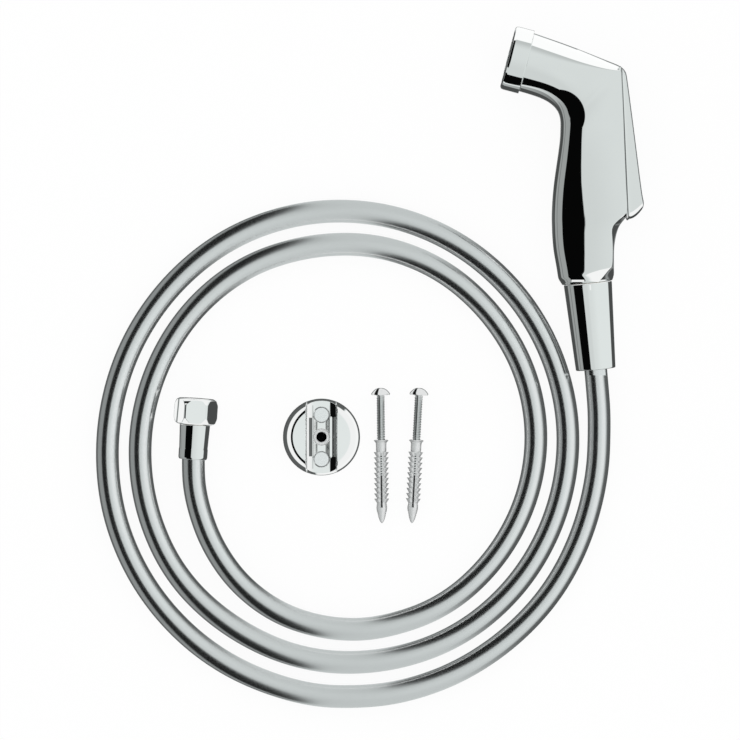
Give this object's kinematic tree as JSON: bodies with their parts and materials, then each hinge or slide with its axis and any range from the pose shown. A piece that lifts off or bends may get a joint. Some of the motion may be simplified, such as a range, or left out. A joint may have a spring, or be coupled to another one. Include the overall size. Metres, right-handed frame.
{
  "type": "handheld bath sprayer",
  "caption": "Trigger hand sprayer with a round spray face, coiled smooth hose with cone and hex nuts, wall holder, screws and wall plugs.",
  "frame": {"origin": "centre of the wall holder's middle hole, on the holder's flat back face, which lies on the floor plane", "axes": "+Z along that hole, away from the wall; +Y along the holder's channel, towards the side on which the handset's spray head lies; +X to the right, towards the handset"},
  "size_m": [0.3315, 0.4084, 0.0389],
  "materials": {
    "chrome": "polished",
    "plated_steel": "bright plated",
    "silver_hose": "smooth silver",
    "white_plastic": "moulded",
    "grey_plastic": "moulded satin",
    "plug_plastic": "moulded",
    "rubber": "matte",
    "brass": "turned",
    "stainless": "drawn"
  },
  "bodies": {
    "base": {"hose_coil": "silver_hose", "hose_lead": "silver_hose", "handset_body": "chrome", "face_collar": "chrome", "spray_plate": "grey_plastic", "flow_diffuser": "white_plastic", "face_seal": "rubber", "outlet_seal": "rubber", "water_core": "white_plastic", "valve_seat": "brass", "valve_gland": "brass", "stem_seal": "rubber", "valve_spring": "stainless", "lever_pin": "stainless", "inlet_connector": "brass", "connector_seal": "rubber", "check_valve": "white_plastic", "filter_screen": "stainless", "inlet_washer": "rubber", "lead_insert": "brass", "lead_ferrule": "stainless", "tail_sleeve": "chrome", "tail_insert": "brass", "tail_washer": "rubber", "holder_body": "chrome", "screw_cap_1": "grey_plastic", "screw_cap_2": "grey_plastic", "centre_ring": "grey_plastic", "screw_1": "plated_steel", "screw_2": "plated_steel", "wall_plug_1": "plug_plastic", "wall_plug_2": "plug_plastic"},
    "lever": {"lever": "chrome"},
    "valve_stem": {"valve_stem": "brass", "poppet_seal": "rubber"},
    "cone_nut": {"cone_nut": "chrome"},
    "hex_nut": {"hex_nut": "chrome"}
  },
  "joints": [
    {"name": "lever_press", "type": "hinge", "parent": "base", "child": "lever", "pos_m": [0.1751, 0.21652, 0.01905], "axis": [0, 0.0367, -0.9993], "range_deg": [0, 4.5], "stiffness_Nm_per_rad": 2, "springref_deg": -5.73},
    {"name": "stem_slide", "type": "slide", "parent": "base", "child": "valve_stem", "axis": [-1, 0, 0], "range_m": [0, 0.00246], "deforming": ["valve_spring"]},
    {"name": "cone_nut_spin", "type": "hinge", "parent": "base", "child": "cone_nut", "pos_m": [0.1596, 0.0924, 0.0145], "axis": [-0.0924, 0.9951, 0.0365], "continuous": true},
    {"name": "hex_nut_spin", "type": "hinge", "parent": "base", "child": "hex_nut", "pos_m": [-0.07583, 0.00735, 0.0115], "axis": [0.0663, 0.9971, 0.0365], "continuous": true}
  ],
  "couplings": [
    {"joint": "stem_slide", "follows": "lever_press", "m_per_rad": 0.0312}
  ]
}
